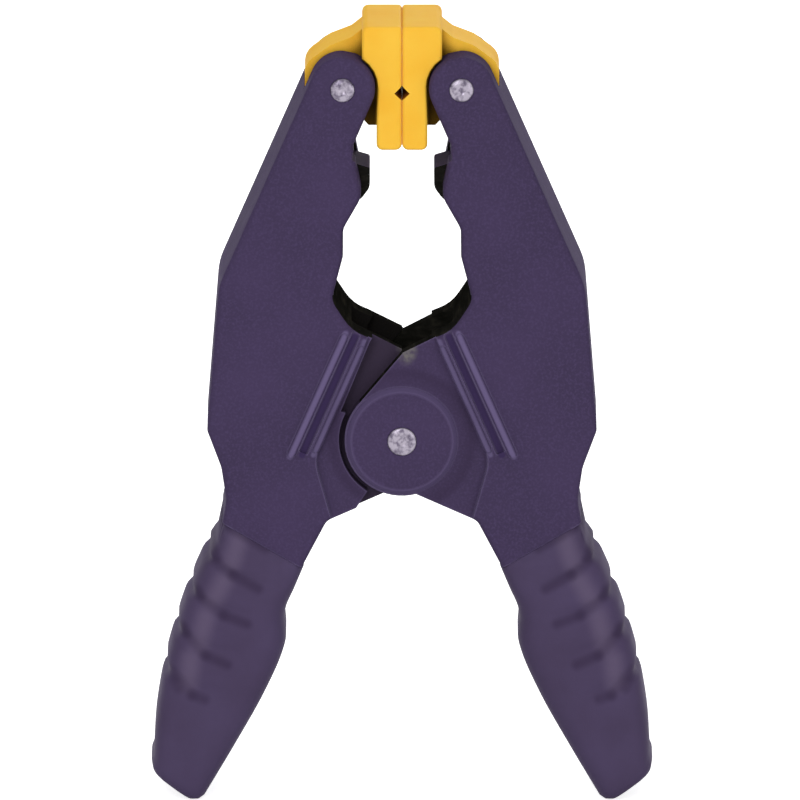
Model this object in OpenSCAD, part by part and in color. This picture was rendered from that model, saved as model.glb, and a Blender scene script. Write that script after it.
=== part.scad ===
// Two-inch spring clamp with swivelling jaw pads.
// Two identical lever mouldings, one turned half a turn about Z, share a riveted hinge
// with a torsion spring inside. X is the width, Y the thickness, Z runs from the
// handle ends up to the jaws. Outlines are drawn in the XZ plane for the left lever.

/* [Lever] */
// Thickness of a lever moulding, front to back
lever_t = 25; // [23:0.5:28]
// Rounding of the lever's outer edges
lever_edge = 1.4; // [0.8:0.1:1.8]
// Height of the hinge axis above the handle ends
pivot_z = 79.7; // [78.5:0.1:81]
// Distance of a pad pin from the middle plane of the clamp
pin_x = 12.6; // [12.2:0.1:13]
// Height of the pad pins above the hinge axis
pin_rise = 77; // [76:0.5:79]
// Radius of the lever's tip round the pad pin
tip_r = 6.9; // [6.5:0.1:7.2]
// Half-width of the clamp at the shoulders beside the hinge
shoulder_x = 41.4; // [40.5:0.1:43]

/* [Hinge] */
// Thickness of the outer lug, without its disc boss
outer_lug_t = 2.8; // [2.4:0.1:3]
// Thickness of the inner lug
inner_lug_t = 2.4; // [2:0.1:2.6]
// Running gap between the two lugs of a pair
lug_gap = 0.2; // [0.15:0.05:0.4]
// Radius of the lugs round the hinge axis
lug_r = 12.2; // [11.9:0.1:12.6]
// Radius of the raised disc on each outer lug
disc_r = 11.7; // [11:0.1:11.8]
// Depth of the recess round the disc
recess_d = 1; // [0.6:0.1:1.3]
// Radial gap round the lugs in the other lever
lug_swing_gap = 1.2; // [0.8:0.1:1.5]
// Radius of the hub that carries the spring
hub_r = 9.2; // [8:0.1:9.4]

/* [Rivet and pins] */
// Radius of the hinge rivet
rivet_r = 2.6; // [2:0.1:3]
// Radius of the rivet's heads
rivet_head_r = 3.1; // [3.1:0.1:4]
// Radius of a pad pin
pin_r = 2; // [1.5:0.1:2.2]
// Radius of a pad pin's heads
pin_head_r = 2.6; // [2.5:0.1:3.5]
// Height of all the domed heads
head_h = 0.8; // [0.5:0.1:1.2]
// Running clearance of a rivet or pin in a turning bore
run_gap = 0.05; // [0.03:0.01:0.1]
// Clearance of a pin in a bore that it doesn't turn in
seat_gap = 0.02; // [0.02:0.01:0.05]

/* [Spring] */
// Wire diameter of the torsion spring
wire_d = 2.2; // [1.6:0.1:2.2]
// Outer radius of the spring's coil
coil_r = 12.4; // [12:0.1:12.6]
// Distance from one curl to the next along the hinge
coil_pitch = 2.8; // [2.7:0.05:2.9]
// Full turns of the coil, before the part turn between the legs
coil_turns = 3; // [1:1:3]
// Length of each straight leg
leg_l = 25; // [18:0.5:26]
// Slope of the legs from vertical
leg_tilt = 33.8; // [30:0.2:36]

/* [Jaw pad] */
// Depth of a pad's gripping face, front to back
pad_t = 20.6; // [18:0.2:23]
// Height of the pad's lower edge above the hinge axis
pad_low = 63.2; // [62:0.2:65]
// Height of the pad's top above the hinge axis
pad_top = 90.2; // [89:0.1:92]
// Width of the pad's head
pad_head_w = 8.5; // [7.5:0.1:9]
// Gap between the lever's tip and the hollow flank of the pad
tip_gap = 0.3; // [0.25:0.05:0.4]
// Gap between the two closed gripping faces
jaw_gap = 0.1; // [0.06:0.02:0.3]
// Width of the slot for the pad's web in the lever's fork
fork_slot = 11.2; // [9:0.2:12]
// Gap beside the web in that slot
web_gap = 0.2; // [0.1:0.05:0.4]
// Radius of the web's rounded back
tail_r = 8; // [7.6:0.1:8.6]
// Side of the square groove that the two faces form for round work
vee_side = 2.3; // [1.6:0.1:3.5]
// Drop of that groove below the pins
vee_drop = 1.3; // [0.5:0.1:3]
// Swing of a pad about its pin
pad_swing = 20; // [10:1:20]

/* [Grip] */
// Wall of the grip sleeve over the lever's tongue
grip_wall = 2.4; // [1.8:0.1:3]
// Amount by which the grip's faces stand proud of the lever's
grip_proud = 0.35; // [0.2:0.05:0.6]
// Distance from one finger groove to the next
lobe_pitch = 8.9; // [8:0.1:10]
// Number of finger grooves
lobe_count = 4; // [2:1:5]
// Depth of the finger grooves
lobe_d = 1.1; // [0.4:0.1:1.2]
// Reach of the grooves onto the faces
lobe_reach = 13; // [6:0.5:14]

/* [Hidden] */
lever_colour = "#473a5c";
grip_colour = "#4b3e61";
pad_colour = "#fdc33c";
steel_colour = "#b8afc0";
spring_colour = "#77766c";
$fn = 96;

half_t = lever_t / 2;
pivot = [0, pivot_z];
pin = [-pin_x, pivot_z + pin_rise];
// Pad: gripping face, flank hollowed round the lever's tip, neck, foot and head
jaw_face = -jaw_gap / 2;
flank_r = tip_r + tip_gap;
flank_a = acos((pin_x - pad_head_w) / flank_r);
neck_x = pin[0] + flank_r;
pad_foot = pivot_z + pad_low;
pad_head = pivot_z + pad_top;
// Layers of the hinge, as distances from the middle plane
recess_y = half_t - recess_d;
outer_lug_y = recess_y - outer_lug_t;
inner_lug_y = outer_lug_y - lug_gap;
cavity_y = inner_lug_y - inner_lug_t;
swing_r = lug_r + lug_swing_gap;
coil_mid_r = coil_r - wire_d / 2;
coil_clear = 0.9;
cut = lever_t + 5;
span = 2 * pivot_z + pad_top;
arc_steps = 4;

// ---- Outlines: corners are [x, z, radius], listed anticlockwise ----

function xz(c) = [c[0], c[1]];
function unit(v) = v / norm(v);
function left_of(v) = [-v[1], v[0]];
function turn(a, b) = a[0] * b[1] - a[1] * b[0];
function ray(a) = [cos(a), sin(a)];
function at(c, i) = c[(i + len(c)) % len(c)];
function heading(v) = atan2(v[1], v[0]);
function swing(a, b) = (b - a + 540) % 360 - 180;

// Points of the arc that rounds corner b between a and c
function corner_arc(a, b, c, r) =
    let (u = unit(a - b), v = unit(c - b),
         half = acos(u * v) / 2,
         centre = b + unit(u + v) * r / sin(half),
         from = heading(b + u * r / tan(half) - centre),
         sweep = swing(from, heading(b + v * r / tan(half) - centre)))
    [for (i = [0:arc_steps]) centre + r * ray(from + sweep * i / arc_steps)];

function rounded(corners) =
    [for (i = [0:len(corners) - 1])
        each corner_arc(xz(at(corners, i - 1)), xz(corners[i]), xz(at(corners, i + 1)),
                        corners[i][2])];

// The same corners moved inwards by d, with their radii following
function inset(corners, d) =
    [for (i = [0:len(corners) - 1])
        let (b = xz(corners[i]),
             u = unit(b - xz(at(corners, i - 1))),
             v = unit(xz(at(corners, i + 1)) - b),
             n = left_of(u), m = left_of(v),
             p = b + d * (n + m) / (1 + n * m),
             r = corners[i][2] + (turn(u, v) > 0 ? -d : d))
        [p[0], p[1], max(r, 0.05)]];

function strip(n, rings) =
    [for (k = [0:rings - 2], i = [0:n - 1])
        each [[k * n + i, k * n + (i + 1) % n, (k + 1) * n + i],
              [k * n + (i + 1) % n, (k + 1) * n + (i + 1) % n, (k + 1) * n + i]]];
function caps(n, rings) =
    [[for (i = [n - 1:-1:0]) i], [for (i = [0:n - 1]) (rings - 1) * n + i]];

// Slab of thickness t round the middle plane, with rounded front and back edges.
// Its last rings stand over the two faces, which are then cut flat.
module rounded_slab(corners, t, edge) {
    edge_steps = 3;
    bevel = [for (i = [0:edge_steps])
        let (a = 90 * i / edge_steps) [edge * (1 - sin(a)), t / 2 - edge * (1 - cos(a))]];
    over = bevel[0] + (bevel[0] - bevel[1]) / 2;
    half = concat([over], [for (i = [1:edge_steps]) bevel[i]]);
    rings = concat([for (b = half) [b[0], -b[1]]], [for (i = [edge_steps:-1:0]) half[i]]);
    outlines = [for (g = rings) rounded(inset(corners, g[0]))];
    n = len(outlines[0]);
    points = [for (k = [0:len(rings) - 1]) each [for (p = outlines[k]) [p[0], rings[k][1], p[1]]]];
    intersection() {
        polyhedron(points, concat(strip(n, len(rings)), caps(n, len(rings))), convexity = 8);
        prism(-t / 2, t / 2) translate([-span / 2, -span / 2]) square([span, 2 * span]);
    }
}

// Straight prism of an XZ outline between two depths
module prism(y0, y1) {
    translate([0, y1, 0]) rotate([90, 0, 0]) linear_extrude(y1 - y0) children();
}

module rod(r, y0, y1) {
    prism(y0, y1) circle(r);
}

module at_pivot() {
    translate([0, 0, pivot_z]) children();
}

module at_pin() {
    translate([pin[0], 0, pin[1]]) children();
}

// The right lever's pieces are the left ones turned half a turn
module half_turn() {
    rotate([0, 0, 180]) children();
}

// ---- Lever ----

// Direction of the jaw arm, and the tip's two corners round the pad pin
arm = ray(67);
tip_out = pin + tip_r * (arm + left_of(arm));
tip_in = pin + tip_r * (arm - left_of(arm));

// Grip line: where the sleeve begins, across the handle
grip_in = [-21.1, pivot_z - 28.1];
grip_out = [-38.1, pivot_z - 18.1];
throat_low = pivot_z + 18.4;
throat_x = 14.9;
throat_z = pivot_z + 31;
fork_low = tip_in - arm * 17.5;

lever_corners = [
    [grip_in[0] - 1.9, grip_in[1] - 3.2, 0.2],
    [-16, pivot_z - 17.8, 3],
    [0, pivot_z - 10.6, 0.1],
    [0, throat_low, 0.1],
    [-10.5, throat_low + 5.8, 12],
    [-throat_x, throat_z, 4],
    [-12.5, throat_z + 9.3, 4],
    [-12.5, throat_z + 15.3, 4],
    [-8.4, pin[1] - 23.4, 5],
    [-9.6, pin[1] - 17.6, 5],
    [fork_low[0], fork_low[1], 1],
    [tip_in[0], tip_in[1], tip_r - 0.02],
    [tip_out[0], tip_out[1], tip_r - 0.02],
    [-38.9, pivot_z + 33.8, 14],
    [-shoulder_x, pivot_z + 2.1, 2.4],
    [-38.4, pivot_z - 6, 8],
    [-37.3, pivot_z - 13.5, 10],
    [grip_out[0] - 0.7, grip_out[1] - 3.2, 0.2]
];

// Tongue of the lever inside the grip, inset from the sleeve's own edges
tongue_corners = inset([
    [-43.2, 1.4, 4],
    [-25.4, pivot_z - 47, 8],
    [-24.2, pivot_z - 38.4, 6],
    [grip_in[0], grip_in[1], 4],
    [grip_in[0] - 1, grip_in[1] + 10, 4],
    [grip_out[0] + 1, grip_out[1] + 8, 4],
    [grip_out[0], grip_out[1], 4],
    [-45, pivot_z - 34.7, 20],
    [-50.6, pivot_z - 56, 20],
    [-52.2, 8, 5]
], grip_wall);

// Everything below the grip line, where the lever's body ends and only its tongue goes on
handle_foot = [-20, -60];
line_over = 10;

module below_grip_line() {
    over = line_over * unit(grip_out - grip_in);
    prism(-cut, cut) polygon([
        grip_in - over, grip_out + over,
        grip_out + over + handle_foot, grip_in - over + handle_foot]);
}

module tongue() {
    prism(-half_t + grip_wall, half_t - grip_wall) polygon(rounded(tongue_corners));
}

// Space that the other lever's lugs need in this one, in the lugs' layers. Past the middle
// plane, every cut of this lever ends at cut_side.
cut_side = 8;
lug_room_high = [[-13, pivot_z + 6.3], [-7, pivot_z + 20.6], [-4, pivot_z + 26],
                 [cut_side, pivot_z + 26], [cut_side, pivot_z]];
lug_room_low = [pivot, [-12, pivot_z - 18.3], [-8, pivot_z - 26],
                [cut_side, pivot_z - 26], [cut_side, pivot_z]];

module lug_space(y0, y1) {
    at_pivot() rod(swing_r, y0, y1);
    prism(y0, y1) polygon(lug_room_high);
    prism(y0, y1) polygon(lug_room_low);
}

// Direction and foot of a spring leg, where it leaves the coil
leg_dir = ray(270 - leg_tilt);
leg_side = -left_of(leg_dir);
leg_foot = pivot + coil_mid_r * leg_side;

// Hollow for the coil and for this lever's spring leg, open below and to the throat
leg_wall = leg_foot + leg_side * (wire_d / 2 + 0.3);
leg_toe = leg_wall + leg_dir * (leg_l + 1.5);
leg_room = 15;
throat_room = [[-13.4, pivot_z], [-13.4, pivot_z + 4.5], [-10.8, pivot_z + 25],
               [cut_side, pivot_z + 28], [cut_side, pivot_z]];

module spring_space() {
    at_pivot() rod(coil_r + coil_clear, -cavity_y, cavity_y);
    prism(-cavity_y, cavity_y) polygon([
        leg_wall, leg_toe, leg_toe - leg_side * leg_room,
        [cut_side, leg_toe[1] - cut_side], [cut_side, leg_wall[1]]]);
    prism(-cavity_y, cavity_y) polygon(throat_room);
}

bead_r = 0.95;
inner_bead_r = 0.75;
bead_from = [-13, pivot_z + 21.3];
bead_to = [-23.9, pivot_z - 3.6];
bead_l = norm(bead_to - bead_from);
channel_w = 1.9;
channel_d = 0.6;
channel_at = 2.2;
inner_bead_at = 4.4;
recess_at = 4.9;

// Point at distance s down the outer bead and at a distance beside it, towards the hinge
function beside_bead(s, inwards) =
    let (down = unit(bead_to - bead_from)) bead_from + s * down + inwards * left_of(down);

// Shallow recess beside the hinge, bounded by the inner bead
recess_corners = [
    [cut_side, pivot_z - 20, 1], [cut_side, pivot_z + 24, 1],
    concat(beside_bead(-4.5, recess_at), 1), concat(beside_bead(bead_l - 1.8, recess_at), 8),
    [-14.2, pivot_z - 20, 1]
];

module hinge_recess(y0, y1) {
    prism(y0, y1) polygon(rounded(recess_corners));
}

// Lug outline: round about the hinge, with the straight flank up to the throat's lowest point
lug_crown = throat_low - pivot_z - 0.3;
lug_flank = 6;

module lug_outline() {
    tangent = acos(lug_r / lug_crown);
    translate(pivot) circle(lug_r);
    translate(pivot) polygon([
        [0, 0], lug_r * ray(90 - tangent), [0, lug_crown], [-lug_flank, lug_crown], [-lug_flank, 0]]);
}

// Raised bead between two points of a face, tapering at both ends; side is 1 at the back
module bead(a, b, r, side) {
    along = unit(b - a);
    root = recess_d + 0.3;
    taper = [[0, 0.3], [0.35 * r, 0.75], [1.2 * r, 1]];
    stations = concat(taper, [for (i = [2:-1:0]) [norm(b - a) - taper[i][0], taper[i][1]]]);
    section = concat([[1, -root / r]], [for (a = [20:28:160]) ray(a)], [[-1, -root / r]]);
    points = [for (t = stations, q = section)
        let (c = a + along * t[0] + left_of(along) * side * r * t[1] * q[0])
        [c[0], side * (half_t + (q[1] > 0 ? r * t[1] : r) * q[1]), c[1]]];
    n = len(section);
    polyhedron(points, concat(strip(n, len(stations)), caps(n, len(stations))), convexity = 4);
}

// Straight channel between two points, sunk into a face
module channel(a, b, w, y, d) {
    translate([a[0], y, a[1]]) rotate([0, 90 - heading(b - a), 0])
        translate([-w / 2, -d, 0]) cube([w, 2 * d, norm(b - a)]);
}

module beads() {
    for (side = [-1, 1]) {
        bead(bead_from, bead_to, bead_r, side);
        bead(beside_bead(-1.2, inner_bead_at), beside_bead(bead_l - 3.2, inner_bead_at), inner_bead_r, side);
    }
}

// Slot for the pad's web between the fork's plates, drawn from the pin
slot_room = [[0, 0], [-12, -2.2], [-12, 12], [13, 12], [13, -18.7], [5.8, -18.7], [1.8, -17.6],
             [-2.5, -17.2], [-5.2, -2]];

module fork_slot_space() {
    slot_y = fork_slot / 2;
    at_pin() rod(web_hub_r + 0.3, -slot_y, slot_y);
    prism(-slot_y, slot_y) translate(pin) polygon(slot_room);
}

// Web between the plates below the slot, with the ledge that the open pad's foot comes down to
ledge_corners = [[-4, -27, 0.5], [3.6, -26, 3], [5.8, -23, 3], [5.8, -18.7, 0.6],
                 [1.8, -17.5, 0.5], [-4, -17.5, 0.5]];

module fork_web() {
    prism(-fork_slot / 2, fork_slot / 2) translate(pin) polygon(rounded(ledge_corners));
}

// Room for the pad's neck at the end of its swing
relief_gap = 0.35;
relief_side = 2;
relief_corners = [
    [relief_side, pad_foot - relief_gap, 0.5], [relief_side, pin[1] - 4, 0.5],
    [neck_x - relief_gap, pin[1] - 4, 0.1], [neck_x - relief_gap, pad_foot - relief_gap, 1.3]];

module pad_relief() {
    at_pin() rotate([0, pad_swing, 0]) translate([-pin[0], 0, -pin[1]])
        prism(-cut, cut) polygon(rounded(relief_corners));
}

// The moulding of the left lever: inner lug in front, outer lug at the back
module lever() {
    difference() {
        union() {
            difference() {
                union() {
                    difference() {
                        rounded_slab(lever_corners, lever_t, lever_edge);
                        below_grip_line();
                    }
                    tongue();
                }
                for (side = [-1, 1]) {
                    near = side * recess_y;
                    far = side * cut;
                    hinge_recess(min(near, far), max(near, far));
                    channel(beside_bead(-3.5, channel_at), beside_bead(bead_l - 2.2, channel_at),
                            channel_w, side * half_t, channel_d);
                }
                lug_space(-cut, -inner_lug_y);
                lug_space(cavity_y, outer_lug_y);
                spring_space();
                fork_slot_space();
            }
            fork_web();
            beads();
            prism(-inner_lug_y, -cavity_y) lug_outline();
            prism(outer_lug_y, recess_y) lug_outline();
            disc_boss();
            at_pivot() rod(hub_r, -cavity_y - 0.5, -lug_gap / 2);
        }
        pad_relief();
        at_pivot() rod(rivet_r + run_gap, -cut, cut);
        at_pin() rod(pin_r + seat_gap, -cut, cut);
    }
}

// Raised disc on the outer lug, with a bevelled rim
disc_rim = 0.8;

module disc_boss() {
    at_pivot() rod(disc_r, outer_lug_y, half_t - disc_rim);
    at_pivot() translate([0, half_t - disc_rim, 0]) rotate([-90, 0, 0])
        cylinder(r1 = disc_r, r2 = disc_r - disc_rim, h = disc_rim);
}

// ---- Jaw pad ----

jaw_corners = [
    [jaw_face, pad_foot, 1.3],
    [jaw_face, pad_head, 0.7],
    [-pad_head_w, pad_head, 1.4],
    [-pad_head_w, pin[1] + flank_r * sin(flank_a), 0.3],
    [neck_x, pin[1] + flank_r * tan(flank_a / 2), flank_r],
    [neck_x, pad_foot, 1.3]
];

// Web of the pad in the fork: hub, the tail over the tip and the fillet up to the head
web_hub_r = 5.2;
web_low = pad_foot + 4.4;
web_in = 2;
tail_corners = [
    [neck_x + web_in, pad_head - 0.6, 0.1],
    [-pad_head_w + 1.2, pad_head - 0.6, 0.5],
    [pin[0] + 1.9, pin[1] + tail_r + 1.8, 3],
    [pin[0] - 2.7, pin[1] + tail_r, 4],
    [pin[0] - tail_r, pin[1] + tail_r / 2, 4],
    [pin[0] - tail_r, pin[1] - 0.9, 0.1],
    [pin[0], pin[1], 0.1],
    [neck_x + web_in, pin[1], 0.1]
];
web_foot = [pin, [neck_x + 1, pin[1] + 1], [neck_x + 1, web_low], [neck_x - 1.7, web_low],
            pin + (web_hub_r - 1) * ray(-80)];
module pad_web() {
    web_y = fork_slot / 2 - web_gap;
    prism(-web_y, web_y) {
        translate(pin) circle(web_hub_r);
        polygon(rounded(tail_corners));
        polygon(web_foot);
    }
}

pad_edge = 0.8;

module jaw_pad() {
    color(pad_colour) difference() {
        union() {
            rounded_slab(jaw_corners, pad_t, pad_edge);
            pad_web();
        }
        translate([0, 0, pin[1] - vee_drop]) rotate([0, 45, 0])
            cube([vee_side, cut * 2, vee_side], center = true);
        at_pin() rod(pin_r + run_gap, -cut, cut);
    }
}

// ---- Grip sleeve ----

grip_half_t = half_t + grip_proud;
// Edges of the sleeve from the grip line down to the handle's end
grip_across = unit(grip_out - grip_in);
grip_outer = [grip_out + grip_proud * grip_across, [-41.7, pivot_z - 26.3], [-45.2, pivot_z - 34.1],
              [-47.9, pivot_z - 41.7], [-50.5, pivot_z - 51.2], [-52.3, pivot_z - 61.7], [-52.9, 9]];
grip_inner = [grip_in - grip_proud * grip_across, [-22.8, pivot_z - 33.5], [-24.8, pivot_z - 39.2],
              [-24.9, pivot_z - 46.6], [-29.3, pivot_z - 57.1], [-35.7, 11], [-41.8, 0.6]];
grip_stations = 56;
grip_sides = 32;
end_r = 2.6;
end_steps = 3;
lobe_slope = 0.15;

// Smooth curve through points p, for u from 0 to 1
function through(p, u) =
    let (n = len(p) - 1, i = min(floor(u * n), n - 1), t = u * n - i,
         a = p[max(i - 1, 0)], b = p[i], c = p[i + 1], d = p[min(i + 2, n)])
    0.5 * (2 * b + (c - a) * t + (2 * a - 5 * b + 4 * c - d) * t * t
           + (3 * b - a - 3 * c + d) * t * t * t);

function fade(x) = let (t = min(max(x, 0), 1)) t * t * (3 - 2 * t);

// Depth of the finger grooves at distance s down the handle and q in from its outer edge
function lobe(s, q) =
    let (along = s - lobe_slope * q, k = round(along / lobe_pitch), off = (along - k * lobe_pitch) / lobe_pitch)
    k < 1 || k > lobe_count ? 0
        : lobe_d * pow(0.5 + 0.5 * cos(360 * off), 5) * fade((lobe_reach - q) / (lobe_reach / 2));

// One point of the sleeve's section at station u, for angle a round it
function grip_point(u, a, shrink) =
    let (o = through(grip_outer, u), i = through(grip_inner, u),
         half_w = norm(i - o) / 2, across = unit(i - o),
         power = 2 / (7 - 2.8 * fade(u / 0.3)),
         x = sign(cos(a)) * pow(abs(cos(a)), power), y = sign(sin(a)) * pow(abs(sin(a)), power),
         q = half_w * (1 + x),
         groove = lobe(norm(o - grip_outer[0]), q),
         out = [x, y] / max(norm([x, y]), 0.01),
         w = half_w * x - groove * out[0] * (1 - fade(q / 2)) - shrink * x,
         d = grip_half_t * y - groove * out[1] * fade(q) - shrink * y,
         p = (o + i) / 2 + across * w)
    [p[0], d, p[1]];

function grip_ring(u, drop, shrink) =
    let (o = through(grip_outer, u), i = through(grip_inner, u), down = -left_of(unit(i - o)))
    [for (k = [0:grip_sides - 1])
        grip_point(u, 360 * (k + 0.5) / grip_sides, shrink) + drop * [down[0], 0, down[1]]];

module grip_sleeve() {
    rings = concat(
        [for (k = [0:grip_stations]) grip_ring(k / grip_stations, 0, 0)],
        [for (k = [1:end_steps])
            let (a = 90 * k / end_steps) grip_ring(1, end_r * sin(a), end_r * (1 - cos(a)))]);
    points = [for (g = rings) each g];
    polyhedron(points, concat(strip(grip_sides, len(rings)), caps(grip_sides, len(rings))), convexity = 8);
}

module grip() {
    color(grip_colour) difference() {
        grip_sleeve();
        tongue();
        translate([-cut * 3, -cut, -cut]) cube([cut * 3, cut * 2, cut]);
    }
}

// ---- Rivet, pins and spring ----

// Domed head that stands out of a face, towards +Y
module domed_head(r, h) {
    ball = (r * r + h * h) / (2 * h);
    rotate([-90, 0, 0]) intersection() {
        translate([0, 0, h - ball]) sphere(ball);
        cylinder(r = r, h = h);
    }
}

module headed_pin(r, head_r, y) {
    rod(r, -y, y);
    translate([0, y, 0]) domed_head(head_r, head_h);
    rotate([0, 0, 180]) translate([0, y, 0]) domed_head(head_r, head_h);
}

// Path of the spring wire: left leg, coil over the top, right leg
coil_from = 180 - leg_tilt;
coil_sweep = 360 * coil_turns + 180 - 2 * leg_tilt;
coil_rise = coil_pitch * coil_sweep / 360;
coil_rings = ceil(8 * coil_sweep / 360);
coil_path = [for (i = [0:coil_rings])
    let (p = coil_mid_r * ray(coil_from - coil_sweep * i / coil_rings))
    [p[0], coil_rise * (i / coil_rings - 0.5), pivot_z + p[1]]];
left_toe = leg_foot + leg_dir * leg_l;
spring_path = concat([[left_toe[0], -coil_rise / 2, left_toe[1]]], coil_path,
                     [[-left_toe[0], coil_rise / 2, left_toe[1]]]);

// Ring of the wire round point i of the path
wire_sides = 6;
function wire_ring(i) =
    let (from = spring_path[max(i - 1, 0)], to = spring_path[min(i + 1, len(spring_path) - 1)],
         t = unit(to - from), n = unit(cross([0, 1, 0], t)), m = cross(t, n))
    [for (k = [0:wire_sides - 1])
        let (a = 360 * k / wire_sides) spring_path[i] + wire_d / 2 * (n * cos(a) + m * sin(a))];

// Least distance between stretches of the wire at least half a curl apart
function foot(p, a, b) = a + (b - a) * min(max((p - a) * (b - a) / ((b - a) * (b - a)), 0), 1);
coil_gap = min([for (i = [0:len(spring_path) - 6], j = [i + 4:len(spring_path) - 2], t = [0, 0.5, 1])
    let (p = spring_path[i] * (1 - t) + spring_path[i + 1] * t)
    norm(p - foot(p, spring_path[j], spring_path[j + 1]))]) - wire_d;
echo(str("least gap of the spring wire to itself: ", coil_gap, " mm"));

// ---- Nodes ----

module left_lever() {
    color(lever_colour) lever();
}

module right_lever() {
    color(lever_colour) half_turn() lever();
}

module left_grip() {
    grip();
}

module right_grip() {
    half_turn() grip();
}

module pivot_rivet() {
    color(steel_colour) at_pivot() headed_pin(rivet_r, rivet_head_r, half_t + run_gap);
}

module torsion_spring() {
    points = [for (i = [0:len(spring_path) - 1]) each wire_ring(i)];
    color(spring_colour)
        polyhedron(points, concat(strip(wire_sides, len(spring_path)),
                                  caps(wire_sides, len(spring_path))), convexity = 8);
}

module left_pad() {
    jaw_pad();
}

module right_pad() {
    half_turn() jaw_pad();
}

module left_pad_pin() {
    color(steel_colour) at_pin() headed_pin(pin_r, pin_head_r, half_t);
}

module right_pad_pin() {
    half_turn() left_pad_pin();
}

left_lever();
right_lever();
left_grip();
right_grip();
pivot_rivet();
torsion_spring();
left_pad();
right_pad();
left_pad_pin();
right_pad_pin();
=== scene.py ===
"""Looks of the spring clamp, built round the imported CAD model.

Lengths are in metres, and one that is written in millimetres is multiplied by MM. X is the width of
the clamp, Y its thickness and Z its height; the front looks towards -Y.
"""
import math

import bmesh
import bpy
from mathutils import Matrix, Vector, noise


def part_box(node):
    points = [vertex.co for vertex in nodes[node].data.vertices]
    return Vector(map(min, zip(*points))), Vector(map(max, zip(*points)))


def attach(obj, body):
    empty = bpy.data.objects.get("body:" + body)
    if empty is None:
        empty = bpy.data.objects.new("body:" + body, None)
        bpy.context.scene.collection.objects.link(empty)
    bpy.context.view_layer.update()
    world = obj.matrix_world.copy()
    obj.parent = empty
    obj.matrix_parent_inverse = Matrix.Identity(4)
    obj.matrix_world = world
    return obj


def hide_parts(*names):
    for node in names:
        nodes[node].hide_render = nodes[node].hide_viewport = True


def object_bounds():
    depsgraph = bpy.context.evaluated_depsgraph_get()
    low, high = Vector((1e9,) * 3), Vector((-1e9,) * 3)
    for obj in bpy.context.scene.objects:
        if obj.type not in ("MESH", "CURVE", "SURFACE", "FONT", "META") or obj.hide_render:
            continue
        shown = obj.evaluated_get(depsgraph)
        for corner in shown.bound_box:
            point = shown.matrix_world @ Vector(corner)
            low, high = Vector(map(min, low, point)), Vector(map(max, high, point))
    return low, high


MM = 0.001
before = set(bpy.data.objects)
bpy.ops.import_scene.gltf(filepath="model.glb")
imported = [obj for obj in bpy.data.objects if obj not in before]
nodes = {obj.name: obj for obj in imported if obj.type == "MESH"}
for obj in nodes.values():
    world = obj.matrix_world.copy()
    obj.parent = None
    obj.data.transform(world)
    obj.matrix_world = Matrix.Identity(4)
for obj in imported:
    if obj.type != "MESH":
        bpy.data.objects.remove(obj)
cad_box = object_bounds()

# ---- Places and sizes on the clamp ----

rivet_lo, rivet_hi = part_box("pivot_rivet")
pin_lo, pin_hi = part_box("left_pad_pin")
PIVOT = (rivet_lo + rivet_hi) / 2
PAD_PIN = (pin_lo + pin_hi) / 2
TOP = cad_box[1].z

# Half the thickness of a lever, and the radius of the disc that stands out from its outer lug
LEVER_HALF_T = 12.5 * MM
DISC_R = 11.7 * MM
# Deviation below which two places count as one
TINY = 0.01 * MM


def off_pivot(x, y, z):
    """The place that lies this many millimetres from the rivet's middle."""
    return PIVOT + Vector((x * MM, y * MM, z * MM))


def pad_pin_at(side):
    """The middle of one side's pad pin; the two lie alike on both sides of the middle."""
    return Vector((PAD_PIN.x if side == "left" else -PAD_PIN.x, 0, PAD_PIN.z))


# The outer bead beside the hinge, on the +x side: the ends of the finished bead, and the upper end
# of the solid's own
BEAD_TOP = off_pivot(12, 0, 23.7)
BEAD_FOOT = off_pivot(23.9, 0, -3.6)
BEAD_END = off_pivot(13, 0, 21.3)
BEAD_RUN = (BEAD_FOOT - BEAD_TOP).normalized()
# Where the two lugs meet in the throat, near the front
THROAT_FOOT = off_pivot(1, -12, 19.8)
# The middle of the square groove between the closed pads
VEE = Vector((0, 0, PAD_PIN.z - 1.3 * MM))

# ---- Shader nodes ----


def linear(code):
    """Linear RGBA of a #rrggbb colour."""
    parts = [int(code[i:i + 2], 16) / 255 for i in (1, 3, 5)]
    return [c / 12.92 if c <= 0.04045 else ((c + 0.055) / 1.055) ** 2.4 for c in parts] + [1]


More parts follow.
